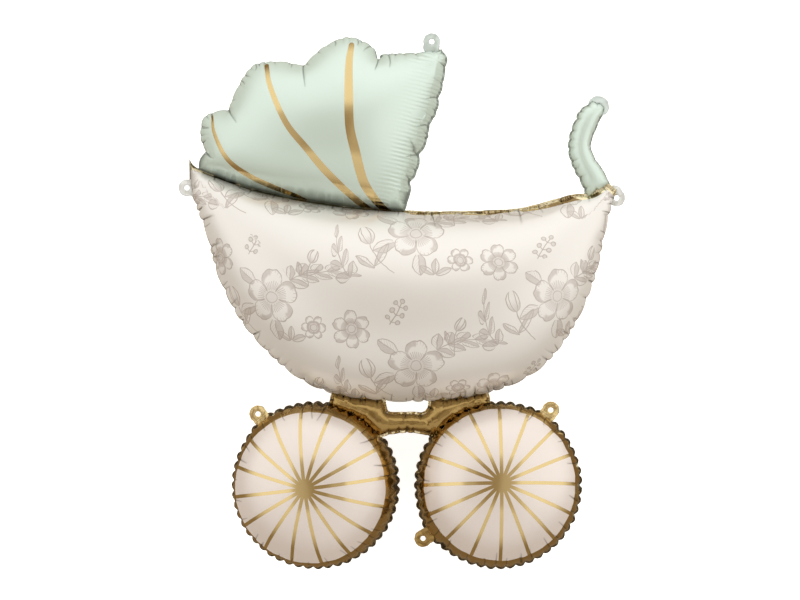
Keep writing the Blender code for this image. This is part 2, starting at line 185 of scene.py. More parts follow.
# Folds that start at a chamber's seam: how far apart, seed, depth, reach, how far the seam
# ruffles between them, how uneven their distances are, and the share of long ones
FOLDS = {
    "basket": (0.0270, 11, 0.0019, 0.0090, 0.0010, 0.65, 0.15),
    "hood": (0.0200, 23, 0.0016, 0.0090, 0.0010, 0.6, 0.2),
    "handle": (0.0185, 37, 0.0006, 0.0045, 0.0008, 0.3, 0.0),
    "left_wheel": (0.0300, 71, 0.0012, 0.0080, 0.0012, 0.8, 0.0),
    "right_wheel": (0.0300, 72, 0.0012, 0.0080, 0.0012, 0.8, 0.0),
    "axle": (0.0210, 53, 0.0022, 0.0080, 0.0010, 0.5, 0.2),
}
# How far from a seam its folds shape the film
BULGE_REACH = 0.0045
NOTCH_REACH = 0.008
RUFFLE_REACH = 0.004
CRUMPLE_REACH = 0.003
# how far the painted shade along a weld's valley reaches
VALLEY_SHADE_REACH = 0.0022
DARK_GROOVE = 0.0012  # a fold this deep is painted dark
ON_EDGE = 0.0008  # so close to the edge, the way out is the edge's own normal
EDGE_STEP = 0.0004  # between two samples along the edge
CREASE_OFFSETS = (-0.0024, -0.0012, -0.0005, 0, 0.0005, 0.0012, 0.0024)  # mesh rows beside it
FLANGE_ROWS = (0.35, 0.7, 0.97)  # mesh rows on the sealed seam, as shares of its width
FIRST_ROW = 0.0006
FINE_ROW = 0.0012  # the widest distance of rows where the mesh is fine
ROW_GROWTH = 1.32
LONG_FOLD = 2.4  # how much longer the long folds are, and below how much deeper
LONG_FOLD_DEPTH = 1.3

# Camera: it looks straight down. A pixel of the photo's frame is PIXEL wide at the seam
PIXELS_WIDE = 800
PIXEL = 0.00165
VIEW_CENTRE = (-0.0033, 0.0025)
CAMERA_HEIGHT = 3.2
SENSOR = 36.0
TENT = 1.12  # how bright the white tent round the balloon is
LIGHTS = {  # place, size and power. All of them look at the balloon's middle
    "key": ((0.5, 3.0, 2.0), (3.0, 1.6), 31),
    "left_fill": ((-3.2, 0.2, 1.2), (1.6, 2.6), 15),
    "right_fill": ((3.2, 0.2, 1.2), (1.6, 2.6), 15),
    "foot_fill": ((0.0, -3.2, 1.2), (2.6, 1.6), 12),
}
LIT_PLACE = (0, 0, 0.1)


# ---------------------------------------------------------------- outlines


def spline(points, step):
    """Points about a step apart on a smooth line through the given ones, both ends included."""
    points = np.asarray(points, float)
    padded = np.vstack([2 * points[0] - points[1], points, 2 * points[-1] - points[-2]])
    t = np.linspace(0, 1, 24, endpoint=False)[:, None]
    dense = []
    for p0, p1, p2, p3 in zip(padded, padded[1:], padded[2:], padded[3:]):
        bend = (2 * p0 - 5 * p1 + 4 * p2 - p3) * t**2 + (3 * (p1 - p2) + p3 - p0) * t**3
        dense.append(0.5 * (2 * p1 + (p2 - p0) * t + bend))
    dense = np.vstack([*dense, points[-1:]])
    along = np.insert(np.cumsum(np.linalg.norm(np.diff(dense[:, :2], axis=0), axis=1)), 0, 0)
    count = max(2, round(along[-1] / step) + 1)
    wanted = np.linspace(0, along[-1], count)
    return np.column_stack([np.interp(wanted, along, column) for column in dense.T])


def closed(stretches):
    """One anticlockwise loop out of stretches that meet in corners."""
    loop = np.vstack([stretch[:-1] for stretch in stretches])
    x, y = loop.T
    area = np.sum(x * np.roll(y, -1) - y * np.roll(x, -1))
    return loop if area > 0 else loop[::-1]


def unit(vectors):
    return vectors / np.maximum(np.linalg.norm(vectors, axis=1), 1e-12)[:, None]


def outward(loop):
    """Unit vectors that point out of an anticlockwise loop."""
    along = np.roll(loop, -1, axis=0) - np.roll(loop, 1, axis=0)
    return unit(np.column_stack([along[:, 1], -along[:, 0]]))


def left_side(line):
    """Unit vectors that point to the left of a line."""
    along = np.gradient(line, axis=0)
    return unit(np.column_stack([-along[:, 1], along[:, 0]]))


def to_segment(points, start, end):
    """Each point's share of the way along a segment, and its distance from it."""
    way, ray = end - start, points - start
    share = np.clip(ray @ way / (way @ way), 0, 1)
    return share, np.linalg.norm(ray - np.outer(share, way), axis=1)


def heading(turn):
    return np.array([math.cos(turn), math.sin(turn)])


def inside(points, loop, chunk=4000):
    """Which points lie inside a loop, by counting the edges that a ray crosses."""
    x0, y0 = loop.T
    x1, y1 = np.roll(loop, -1, axis=0).T
    result = []
    for start in range(0, len(points), chunk):
        x, y = points[start : start + chunk].T
        spans = (y0 > y[:, None]) != (y1 > y[:, None])
        with np.errstate(divide="ignore", invalid="ignore"):
            cross = x0 + (y[:, None] - y0) * (x1 - x0) / (y1 - y0)
        result.append(np.count_nonzero(spans & (cross > x[:, None]), axis=1) % 2 == 1)
    return np.concatenate(result)


# ---------------------------------------------------------------- the blown-up film


class Edge:
    """A chamber's outer edge: nearest point, way along it and distance for any point inside."""

    def __init__(self, loop, seam):
        steps = np.linalg.norm(np.roll(loop, -1, axis=0) - loop, axis=1)
        self.length = steps.sum()
        along = np.concatenate([[0], np.cumsum(steps)[:-1]])
        self.normal = outward(loop)
        self.fine = np.linspace(0, self.length, int(self.length / EDGE_STEP), endpoint=False)
        index = np.searchsorted(along, self.fine, side="right") - 1
        share = ((self.fine - along[index]) / steps[index])[:, None]
        after = (index + 1) % len(loop)
        self.points = loop[index] * (1 - share) + loop[after] * share
        self.fine_normal = self.normal[index] * (1 - share) + self.normal[after] * share
        self.seam = seam(self.points) if callable(seam) else np.full(len(self.points), seam)
        self.loop_seam = np.interp(along, self.fine, self.seam)
        self.tree = tree_of(self.points)

    def measure(self, points):
        """Distance to the edge, nearest edge sample, and the direction out of the chamber."""
        found = [self.tree.find((x, y, 0)) for x, y in points]
        index = np.array([f[1] for f in found])
        gap = np.array([f[2] for f in found])
        out = self.points[index] - points
        near = gap < ON_EDGE
        out[near] = self.fine_normal[index[near]]
        return gap, index, unit(out)


def tree_of(points):
    tree = kdtree.KDTree(len(points))
    for index, (x, y) in enumerate(points):
        tree.insert((x, y, 0), index)
    tree.balance()
    return tree


def away_from(points, tree, gap):
    """The points that keep a distance from all those in a tree."""
    if tree is None or not len(points):
        return points
    return points[np.array([tree.find((x, y, 0))[2] > gap for x, y in points])]


def membrane(points, triangles, free):
    """Solves the membrane equation on triangles by conjugate gradients. Fixed points stay at 0."""
    a, b, c = triangles.T
    weights, rows, columns = [], [], []
    area = np.abs(np.cross(points[b] - points[a], points[c] - points[a])) / 2
    for i, j, k in ((a, b, c), (b, c, a), (c, a, b)):
        u, v = points[i] - points[k], points[j] - points[k]
        weights.append(np.sum(u * v, axis=1) / (4 * np.maximum(area, 1e-12)))
        rows.append(i)
        columns.append(j)
    weights, rows, columns = (np.concatenate(part) for part in (weights, rows, columns))
    count = len(points)
    load = np.bincount(np.concatenate([a, b, c]), np.tile(area / 3, 3), count) * free
    diagonal = np.bincount(rows, weights, count) + np.bincount(columns, weights, count)
    diagonal = np.where((free > 0) & (diagonal > 0), diagonal, 1.0)

    def stiffness(x):
        flow = np.bincount(rows, weights * x[columns], count)
        flow = flow + np.bincount(columns, weights * x[rows], count)
        return (diagonal * x - flow) * free

    height = np.zeros(count)
    rest = load.copy()
    ready = rest / diagonal
    way = ready.copy()
    power = rest @ ready
    goal = power * 1e-12
    for _ in range(2500):
        pull = stiffness(way)
        size = power / (way @ pull)
        height += size * way
        rest -= size * pull
        ready = rest / diagonal
        renewed = rest @ ready
        if renewed < goal:
            break
        way = ready + renewed / power * way
        power = renewed
    return height


class Folds:
    """Valleys that start at a seam and run into the film. Between two of them the film bulges."""

    def __init__(self, edge, pitch, seed, deep, reach, ruffle, jitter, long_share):
        random = np.random.default_rng(seed)
        self.count = count = max(6, round(edge.length / pitch))
        gaps = 1 + jitter * random.uniform(-1, 1, count)
        self.start = np.concatenate([[0], np.cumsum(gaps)]) / gaps.sum() * edge.length
        self.deep = deep * random.uniform(0.35, 1.2, count)
        self.reach = reach * random.uniform(0.5, 1.3, count)
        longer = random.random(count) < long_share
        self.reach[longer] *= LONG_FOLD
        self.deep[longer] *= LONG_FOLD_DEPTH
        self.slant = 0.35 * random.uniform(-1, 1, count)
        sign = np.where(np.arange(count) % 2 == 0, 1, -1)
        sign = sign * np.where(random.random(count) < 0.3, -1, 1)
        self.ruffle = ruffle * random.uniform(0.3, 1.3, count) * sign

    def at(self, along, inner):
        """Where a point stands in its bulge (0 to 1), the valley's depth there, and the ruffle."""
        lobe, share = self.lobe_of(along)
        blend = share * share * (3 - 2 * share)
        slant = self.slant[lobe] * (1 - blend) + self.slant[(lobe + 1) % self.count] * blend
        lobe, share = self.lobe_of((along - slant * inner) % self.start[-1])
        width = self.start[lobe + 1] - self.start[lobe]
        valley = np.where(share < 0.5, lobe, (lobe + 1) % self.count)
        gap = np.minimum(share, 1 - share) * width
        fade = np.clip(1 - inner / self.reach[valley], 0, 1)
        groove = np.exp(-((gap / (0.0008 + 0.02 * inner)) ** 1.4)) * fade**0.8
        arch = np.sin(np.pi * np.clip(share, 0, 1))
        return arch**0.45, self.deep[valley] * groove, self.ruffle[lobe] * arch

    def lobe_of(self, along):
        lobe = np.clip(np.searchsorted(self.start, along, side="right") - 1, 0, self.count - 1)
        return lobe, (along - self.start[lobe]) / (self.start[lobe + 1] - self.start[lobe])


def rows_of_points(loop, edge, step, lines, fine):
    """Points over a chamber: along its creases, in rows along the edge, then a grid."""
    drawn = [np.empty((0, 2))]
    for line in lines:
        line = spline(line, 0.0011)
        side = left_side(line)
        drawn += [line + side * offset for offset in CREASE_OFFSETS]
    drawn = np.vstack(drawn)
    if len(drawn):
        drawn = drawn[inside(drawn, loop)]
        gap, index, _ = edge.measure(drawn)
        drawn = drawn[gap > edge.seam[index] + 0.0004]
    tree = tree_of(drawn) if len(drawn) else None

    def row_at(inset):
        """The loop moved inwards, without the points that come too close to another side."""
        row = loop - edge.normal * inset[:, None]
        row_inside = inside(row, loop)
        row, inset = row[row_inside], inset[row_inside]
        return row[edge.measure(row)[0] > inset - 0.00014]

    seam = edge.loop_seam
    spare = [drawn, *(row_at(seam * share) for share in FLANGE_ROWS)]
    grow, inset = FIRST_ROW, 0.0
    while grow < step:
        inset += grow
        spare.append(away_from(row_at(seam + inset), tree, 0.0007))
        grow *= ROW_GROWTH
        if inset < fine:
            grow = min(grow, FINE_ROW)
    low, high = loop.min(axis=0), loop.max(axis=0)
    x, y = np.meshgrid(np.arange(low[0], high[0], step), np.arange(low[1], high[1], 0.866 * step))
    x[1::2] += step / 2
    grid = np.column_stack([x.ravel(), y.ravel()])
    grid = grid[inside(grid, loop)]
    gap, index, _ = edge.measure(grid)
    grid = grid[gap > edge.seam[index] + inset + 0.6 * step]
    spare.append(away_from(grid, tree, 0.0014))
    return np.vstack([loop, *spare])


def flat_stretch(height, size):
    """How much further out a point lies on the flat sheet than on the blown-up one."""
    share = np.linspace(0, 1, 200)
    level = np.sqrt(1 - share**2)
    radius = size * share
    arc = np.insert(np.cumsum(np.hypot(np.diff(radius), np.diff(level) * size * 0.6)), 0, 0)
    return np.interp(1 - height, 1 - level, arc - radius)


def chamber(
    name, loop, materials, depth, step, seam, size, lean=(0, 0), tilt=(0, 0), creases=(),
    fine=0.008, limit=1.0, calm=1.0, overhang=0.0016, notch=0.0014, droop=0.5, crumple=0.0,
    buckle=0.0, valley=0.0, flange_shade=0.35, floor=None,
):
    """A closed mesh of two swollen films over a loop, sealed round it.

    step is the mesh's step, and size the chamber's own. The film stands over its seam by the
    overhang and is pulled back by notches between its folds. The seam droops and is crumpled,
    slow waves buckle the film, and only a strip as wide as the limit has folds. Most sizes may
    be functions of the points on the plan.
    """

    def here(value):
        return value(points) if callable(value) else value

    edge = Edge(loop, seam)
    points = rows_of_points(loop, edge, step, [line for line, _ in creases], fine)
    count, rim = len(points), len(loop)
    border = [(i, (i + 1) % rim) for i in range(rim)]
    made = delaunay_2d_cdt([Vector(point) for point in points], border, [], 1, 1e-9)
    if len(made[0]) != count:
        raise RuntimeError(f"{name}: the mesh merged points")
    triangles = np.array(made[2])
    gap, index, out = edge.measure(points)
    gap[:rim] = 0
    beyond = gap - edge.seam[index]
    along = edge.fine[index]
    height = membrane(points, triangles, (beyond > 0.00002).astype(float))
    height = np.sqrt(np.clip(height / height.max(), 0, None))

    inner, width = np.maximum(beyond, 0), np.maximum(-beyond, 0)
    flange = np.clip(-beyond / edge.seam[index], 0, 1)
    arch, groove, wave = Folds(edge, *FOLDS[name]).at(along, inner)
    near = np.clip(1 - inner / limit, 0, 1) ** 1.5
    groove = groove * near * here(calm)
    rise = inner / BULGE_REACH * np.exp(1 - inner / BULGE_REACH)
    pull = here(notch) * (1 - arch) * here(calm) * np.exp(-inner / NOTCH_REACH)
    push = here(overhang) * near * rise * (0.25 + 0.75 * arch) - pull
    droop = here(droop) * width
    crumple = here(crumple) * crumpled(along, inner, width)
    ruffle = wave * np.where(
        beyond > 0, np.exp(-inner / RUFFLE_REACH) * near, 1 + 0.8 * flange
    )

    flat = points + out * flat_stretch(height, size)[:, None]
    place = points + out * (push - 0.25 * droop * flange)[:, None] + np.outer(height, lean)
    swell = 1 + (points - points[:rim].mean(axis=0)) @ np.array(tilt) / size
    shell = np.column_stack([place, depth * height * swell])
    normal = vertex_normals(shell, triangles)
    dent, crease_shade = np.zeros(count), np.zeros(count)
    for line, drop in creases:
        fold, dark = crease(points, line)
        dent += drop * fold * np.clip(inner / 0.002, 0, 1)
        crease_shade = np.maximum(crease_shade, dark)
    dent += buckle * gentle_waves(points, size) * height
    front = shell - normal * (groove + dent)[:, None]
    back = shell - normal * groove[:, None]
    back[:, 2] *= -1
    shift = ruffle - droop + crumple
    front[:, 2] = np.maximum(front[:, 2], 0) + shift + FILM / 2
    back[:, 2] = np.minimum(back[:, 2], 0) + shift - FILM / 2
    if floor is not None:
        back[:, 2] = np.maximum(back[:, 2], -floor)
    piece = film_mesh(name, front, back, triangles, rim, points, flat, along, beyond)
    for material in materials:
        piece.data.materials.append(material)
    # Painted shade for the materials, in the fold layer: dark in deep grooves and crease lines,
    # along the valley of a weld and on the flange, with less of it at the flange's outer rim
    dark = here(flange_shade) * (0.45 + 0.55 * np.sin(along * 331 + 3 * np.sin(along * 57)) ** 2)
    dark *= np.clip((1.07 - flange) * 5, 0.15, 1)
    deep = here(valley) * np.exp(-inner / VALLEY_SHADE_REACH)
    shade = groove / DARK_GROOVE + 1.25 * crease_shade + deep + np.where(beyond < 0, dark, 0)
    add_layer(piece, "fold", np.tile(shade, 2))
    return piece


def crumpled(along, inner, width):
    """Sharp irregular facets along a seam."""
    wave = np.abs(np.sin(along * 520 + 2.5 * np.sin(along * 130)))
    wave = wave + 0.7 * np.abs(np.sin(along * 890 + width * 500 + 1.1))
    return (wave - 0.9) * np.exp(-inner / CRUMPLE_REACH)


def vertex_normals(points, triangles):
    """Unit vectors square to the film, out of the front."""
    a, b, c = (points[triangles[:, k]] for k in range(3))
    face = np.cross(b - a, c - a)
    face *= np.sign(face[:, 2:] + 1e-15)

    def total(axis):
        return sum(np.bincount(triangles[:, k], face[:, axis], len(points)) for k in range(3))

    return unit(np.column_stack([total(axis) for axis in range(3)]))


def crease(points, line):
    """A fold along a line that is sharpest at its start, and the painted shade along it.

    One side of it stands over the other.
    """
    line = spline(line, 0.002)
    gap = np.full(len(points), 1.0)
    side = np.zeros(len(points))
    share = np.zeros(len(points))
    for number, (start, end) in enumerate(zip(line, line[1:])):
        part, off = to_segment(points, start, end)
        nearer = off < gap
        gap[nearer] = off[nearer]
        (x, y), ray = end - start, points - start
        side[nearer] = np.sign(x * ray[:, 1] - y * ray[:, 0])[nearer]
        share[nearer] = ((number + part) / (len(line) - 1))[nearer]
    left = np.clip(1 - share, 0, 1)
    step = np.exp(-gap / 0.0010) + 0.45 * side * np.exp(-gap / 0.0045)
    return left**0.7 * step, left**0.4 * np.exp(-((gap / 0.0009) ** 2))


def pinches(loop, seam, pitch, seed, longest, drop, kept=None):
    """Short creases that run from the seam into the film, at uneven distances."""
    random = np.random.default_rng(seed)
    out = outward(loop)
    along = np.cumsum(np.linalg.norm(np.roll(loop, -1, axis=0) - loop, axis=1))
    lines = []
    place = pitch * random.uniform(0.5, 1.5)
    while place < along[-1] - pitch * 0.4:
        spot = np.searchsorted(along, place)
        place += pitch * random.uniform(0.5, 1.5)
        length = longest * random.uniform(0.3, 1.0)
        side = np.array([-out[spot, 1], out[spot, 0]]) * random.uniform(-0.3, 0.3)
        deep = drop * random.uniform(0.6, 1.2)
        start = loop[spot] - out[spot] * (seam + 0.0006)
        if kept is None or kept(start):
            end = start + (side - out[spot]) * length
            middle = start + (0.5 * side - out[spot]) * length * 0.5
            lines.append((np.array([start, middle, end]), deep))
    return lines


def gentle_waves(points, size):
    """A few slow waves over the film, which bend its reflections."""
    x, y = (points / size).T
    wave = np.sin(5.1 * x + 2.3 * y + 0.4) + 0.8 * np.sin(-3.7 * x + 6.2 * y + 1.9)
    return 0.3 * (wave + 0.6 * np.sin(9.3 * x - 7.9 * y + 3.1))


def film_mesh(name, front, back, triangles, rim, points, flat, along, beyond):
    """Both films and the cut edge between them, with print and seam coordinates."""
    count = len(front)
    a, b, c = (front[triangles[:, k], :2] for k in range(3))
    flip = np.cross(b - a, c - a) < 0
    upper = triangles.copy()
    upper[flip] = upper[flip][:, ::-1]
    lower = upper[:, ::-1] + count
    i = np.arange(rim)
    j = (i + 1) % rim
    side = [np.column_stack([i, i + count, j + count]), np.column_stack([i, j + count, j])]
    faces = np.vstack([upper, lower, *side])
    vertices = np.vstack([front, back])
    vertices[:, :2] += FOOT
    vertices[:, 2] += SEAM_Z
    mesh = bpy.data.meshes.new(name)
    mesh.from_pydata(vertices.tolist(), [], faces.tolist())
    corner = faces.ravel() % count
    layers = {"Print": flat, "Plan": points, "Seam": np.column_stack([along, beyond])}
    for layer, data in layers.items():
        uv = mesh.uv_layers.new(name=layer)
        uv.data.foreach_set("uv", data[corner].astype(np.float32).ravel())
    mesh.shade_smooth()
    hidden = np.zeros(len(faces), dtype=np.int32)
    hidden[len(upper) : 2 * len(upper)] = 1
    mesh.polygons.foreach_set("material_index", hidden)
    piece = add_object(name, mesh)
    finish_piece(piece)
    return piece


def add_layer(piece, name, values):
    """A number at every vertex, for the materials."""
    layer = piece.data.attributes.new(name, "FLOAT", "POINT")
    layer.data.foreach_set("value", np.asarray(values, np.float32))


def write_layer(piece, name, rule):
    """A number at every vertex, worked out from its place on the plan."""
    place = np.empty(len(piece.data.vertices) * 3)
    piece.data.vertices.foreach_get("co", place)
    add_layer(piece, name, rule(place.reshape(-1, 3)[:, :2] - FOOT))


def add_object(name, data):
    thing = bpy.data.objects.new(name, data)
    bpy.context.scene.collection.objects.link(thing)
    return thing


def finish_piece(piece):
    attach(piece, "root")
    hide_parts(NODE)


# ---------------------------------------------------------------- materials by node expressions


def set_inputs(node, values):
    """Gives inputs of a node their values: numbers, vectors, colours, sockets or Values."""
    for key, value in values.items():
        if isinstance(value, Value):
            value = value.socket
        if isinstance(value, bpy.types.NodeSocket):
            node.id_data.links.new(value, node.inputs[key])
        else:
            node.inputs[key].default_value = value


def add_node(tree, kind, inputs=None, **settings):
    node = tree.nodes.new(kind)
    for key, value in settings.items():
        setattr(node, key, value)
    set_inputs(node, inputs or {})
    return node


def math_node(operation):
    """A method that adds one Math node."""
    return lambda self, *others: self.op(operation, *others)


class Value:
    """A number in a material's node tree. Arithmetic on it adds Math nodes."""

    def __init__(self, tree, socket):
        self.tree = tree
        self.socket = socket

    def op(self, name, *others, clamp=False):
        inputs = dict(enumerate((self, *others)))
        node = add_node(self.tree, "ShaderNodeMath", inputs, operation=name, use_clamp=clamp)
        return Value(self.tree, node.outputs[0])

    __add__ = math_node("ADD")
    __mul__ = math_node("MULTIPLY")
    __sub__ = math_node("SUBTRACT")
    __truediv__ = math_node("DIVIDE")
    abs = math_node("ABSOLUTE")
    max = math_node("MAXIMUM")
    min = math_node("MINIMUM")
    power = math_node("POWER")
    sin = math_node("SINE")
    cos = math_node("COSINE")
    exp = math_node("EXPONENT")
    angle_from = math_node("ARCTAN2")
    floor = math_node("FLOOR")
    fraction = math_node("FRACT")
    mod = math_node("FLOORED_MODULO")

    def __rsub__(self, other):
        return self * -1.0 + other

    def below(self, limit, soft=0.0004):
        """1 where the value is under the limit, with a soft step."""
        return self.op("MULTIPLY_ADD", -1.0 / soft, limit / soft, clamp=True)

    def above(self, limit, soft=0.0004):
        return 1.0 - self.below(limit, soft)


def hypot(x, y):
    return (x * x + y * y).power(0.5)


def largest(first, *others):
    for other in others:
        first = first.max(other)
    return first


def parts_of(tree, vector):
    """The three numbers of a vector or colour."""
    node = add_node(tree, "ShaderNodeSeparateXYZ", {0: vector})
    return [Value(tree, socket) for socket in node.outputs]


class Film:
    """A material with one Principled shader, its coordinates and the usual noise."""

    def __init__(self, name, colour, metallic, roughness):
        self.material = bpy.data.materials.new(name)
        self.material.use_nodes = True
        self.tree = self.material.node_tree
        self.shader = self.tree.nodes["Principled BSDF"]
        self.set({"Base Color": (*colour, 1), "Metallic": metallic, "Roughness": roughness})

    def set(self, values):
        set_inputs(self.shader, values)

    def add(self, kind, inputs=None, **settings):
        return add_node(self.tree, kind, inputs, **settings)

    def coordinates(self, layer):
        """x and y of a named layer, in metres."""
        uv = self.add("ShaderNodeUVMap", uv_map=layer)
        return parts_of(self.tree, uv.outputs[0])[:2]

    def layer(self, name):
        """A number that the mesh carries at its vertices."""
        node = self.add("ShaderNodeAttribute", attribute_name=name)
        return Value(self.tree, node.outputs["Fac"])

    def texture(self, kind, output, x, y, **inputs):
        vector = self.add("ShaderNodeCombineXYZ", {0: x, 1: y})
        inputs = {"Vector": vector.outputs[0], **inputs}
        return self.add(kind, inputs).outputs[output]

    def noise(self, x, y, scale, detail=2.0):
        fac = self.texture("ShaderNodeTexNoise", "Fac", x, y, Scale=scale, Detail=detail)
        return Value(self.tree, fac)

    def mix(self, share, start, end):
        """A colour between two, each a colour or a socket."""
        start, end = ((*part, 1) if isinstance(part, tuple) else part for part in (start, end))
        inputs = {"Factor": share, "A": start, "B": end}
        return self.add("ShaderNodeMix", inputs, data_type="RGBA").outputs["Result"]

    def bump(self, height, distance):
        node = self.add("ShaderNodeBump", {"Distance": distance, "Height": height})
        self.set({"Normal": node.outputs[0]})

    def cells(self, pitch, stretch=1.0):
        """Straight-edged cells over the plan, stretched along X. Each has its own colour."""
        x, y = self.coordinates("Plan")
        return self.texture("ShaderNodeTexVoronoi", "Color", x * (1 / stretch), y, Scale=1 / pitch)

    def cell_value(self, cells):
        """A number from 0 to 1 that is each cell's own."""
        return parts_of(self.tree, cells)[2]

    def facets(self, cells, share):
        """Tilts the film in each cell another way, as crumpled foil does."""

        def vector(operation, inputs):
            return self.add("ShaderNodeVectorMath", inputs, operation=operation).outputs[0]

        normal = self.shader.inputs["Normal"].links[0].from_socket
        centred = vector("SUBTRACT", {0: cells, 1: (0.5, 0.5, 0.5)})
        tilt = vector("SCALE", {0: centred, "Scale": share})
        self.set({"Normal": vector("NORMALIZE", {0: vector("ADD", {0: normal, 1: tilt})})})

    def on_flange(self):
        """1 on the sealed seam."""
        return self.coordinates("Seam")[1].below(0.0006, 0.0012)

    def seam_wrinkles(self, strength, reach, pitch):
        """Fine folds that run inwards from the seam and fade, and slow waves in the film."""
        along, beyond = self.coordinates("Seam")
        inner = beyond.max(0.0)
        fold = self.noise(along * (1 / pitch), inner * 22.0, 1.0, 1.5)
        fade = (inner * (-1 / reach)).exp()
        x, y = self.coordinates("Plan")
        slow = self.noise(x, y, 16.0, 1.0)
        tiny = self.noise(x, y, 90.0, 1.0)
        return fold * fade * strength + slow * 0.6 + tiny * 0.05


MINT = (0.648, 0.765, 0.692)
CREAM = (0.805, 0.780, 0.742)
INK = (0.450, 0.385, 0.345)
GOLD = (0.760, 0.590, 0.290)
# The next two are GOLD darkened with painted shade: the wheels' rims, the basket's band, the axle
# and a wheel tab
RING_GOLD_SHADED = (0.560, 0.390, 0.165)
AXLE_GOLD_SHADED = (0.420, 0.280, 0.100)
# Colour of painted glints on some crumpled gold facets
PAINTED_GLINT = (0.950, 0.840, 0.560)
TAB_MINT = (0.590, 0.660, 0.620)
# The next three are colours of painted shade, mixed into films where they fold, crease or seal
PAINTED_SHADE = (0.100, 0.085, 0.060)
PAINTED_SHADE_MINT = (0.085, 0.105, 0.090)
PAINTED_SHADE_GOLD = (0.030, 0.023, 0.011)
BLUSH = (0.790, 0.715, 0.665)
CLEAR = (0.760, 0.770, 0.740)
SATIN = {"metallic": 0.42, "roughness": 0.34}
BRIGHT = {"metallic": 1.0, "roughness": 0.17}
SPOKES = 16
SPOKE_WIDTH = 0.0062
COMB_PITCH = 0.0068  # of the fine wrinkles behind the hood's front edge
COMB_REACH = 0.034


def fold_shade(film, colour, dark=PAINTED_SHADE, most=0.72):
    """Paints shade into a colour where the film is folded, creased, sunk along a weld or sealed at
    its flange.
    """
    film.set({"Base Color": film.mix((film.layer("fold") * 0.6).min(most), colour, dark)})


def satin_film(name, colour, wrinkles=0.8, dark=PAINTED_SHADE, crumpled_share=0.0):
    """Satin film without a print."""
    film = Film(name, colour, **SATIN)
    fold_shade(film, colour, dark)
    film.bump(film.seam_wrinkles(wrinkles, 0.016, 0.0042), 0.0008)
    if crumpled_share:
        film.facets(film.cells(0.0060), crumpled_share)
    return film.material


def gold_film(name, colour, creased):
    """Bright gold film, creased into small facets along its seams and here and there inside, with
    painted glints on some facets of the flange.
    """
    film = Film(name, colour, **BRIGHT)
    x, y = film.coordinates("Plan")
    flange = film.on_flange()
    share = (film.noise(x, y, 30.0, 1.0).above(0.58, 0.10) * 0.5 + flange + 0.05).min(1.0)
    cells = film.cells(0.0075)
    glint_share = film.cell_value(cells).above(0.78, 0.04) * flange
    fold_shade(film, film.mix(glint_share, colour, PAINTED_GLINT), PAINTED_SHADE_GOLD)
    film.bump(film.seam_wrinkles(1.0, 0.007, 0.0050), 0.0011)
    film.facets(cells, share * creased)
    return film.material


def gold_over(film, share, under, gold=GOLD, dark=PAINTED_SHADE, most=0.72):
    """Gold print where share is 1, on a satin film of the colour under."""
    fold_shade(film, film.mix(share, under, gold), dark, most)
    for key, level in SATIN.items():
        film.set({key.capitalize(): share * (BRIGHT[key] - level) + level})


def hood_film():
    """Mint film with three gold ribs, and fine cross wrinkles behind its front edge."""
    film = Film("hood_film", MINT, **SATIN)
    gold_over(film, film.layer("rib").below(0.0, 0.0006), MINT, dark=PAINTED_SHADE_MINT)
    beyond = film.coordinates("Seam")[1]
    x, y = film.coordinates("Plan")
    patchy = film.noise(x, y, 26.0, 1.0).above(0.46, 0.10)
    comb = ((y + x * 0.18) * (2 * math.pi / COMB_PITCH) + film.noise(x, y, 30.0) * 3.0).sin()
    inner = (beyond * (-1 / COMB_REACH)).exp()
    fine = comb * film.layer("front").min(1.0) * inner * patchy * 0.80
    film.bump(film.seam_wrinkles(0.8, 0.016, 0.0042) + fine, 0.0008)
    return film.material


def wheel_film(name, centre, disc, disc_shift, turn):
    """Blush film with sixteen gold spokes and a gold rim, drawn round the print's centre. The
    rim's gold is darkened with painted shade and has painted glints on facets of its flange.
    """
    film = Film(name, BLUSH, **SATIN)
    x, y = film.coordinates("Plan")
    x, y = x - centre[0], y - centre[1]
    half = math.pi / SPOKES
    angle = y.angle_from(x) + (half - turn + 2 * math.pi)
    part = angle.mod(2 * half) - half
    spoke = (part.sin() * hypot(x, y)).abs().below(SPOKE_WIDTH / 2)
    rim = hypot(x - disc_shift[0], y - disc_shift[1]).above(disc)
    flange = film.on_flange()
    cells = film.cells(0.0042)
    glint_share = film.cell_value(cells).above(0.70, 0.05) * flange
    gold = film.mix(rim, GOLD, film.mix(glint_share, RING_GOLD_SHADED, PAINTED_GLINT))
    gold_over(film, spoke.max(rim), BLUSH, gold, PAINTED_SHADE_GOLD, 0.93)
    film.bump(film.seam_wrinkles(0.9, 0.010, 0.0045), 0.0009)
    film.facets(cells, flange * 0.9 + rim * 0.06)
    return film.material


def basket_film():
    """Cream film with a botanical print in taupe lines, and a gold band along the upper edge,
    whose gold is darkened with painted shade and carries painted glints.
    """
    film = Film("basket_film", CREAM, **SATIN)
    beyond = film.coordinates("Seam")[1]
    band = film.layer("band").below(0.0, 0.0006).max(beyond.below(-0.0016, 0.0003))
    cells = film.cells(0.0105, 2.4)
    glint_share = film.cell_value(cells).above(0.40, 0.50)
    under = film.mix(botanical_print(film), CREAM, INK)
    gold_over(film, band, under, film.mix(glint_share, RING_GOLD_SHADED, PAINTED_GLINT))
    film.bump(film.seam_wrinkles(0.9, 0.016, 0.0045), 0.0008)
    film.facets(cells, band * 0.8)
    return film.material


# ---------------------------------------------------------------- the basket's print

REPEAT = (0.236, 0.224)
LINE = 0.00098  # half a line's width


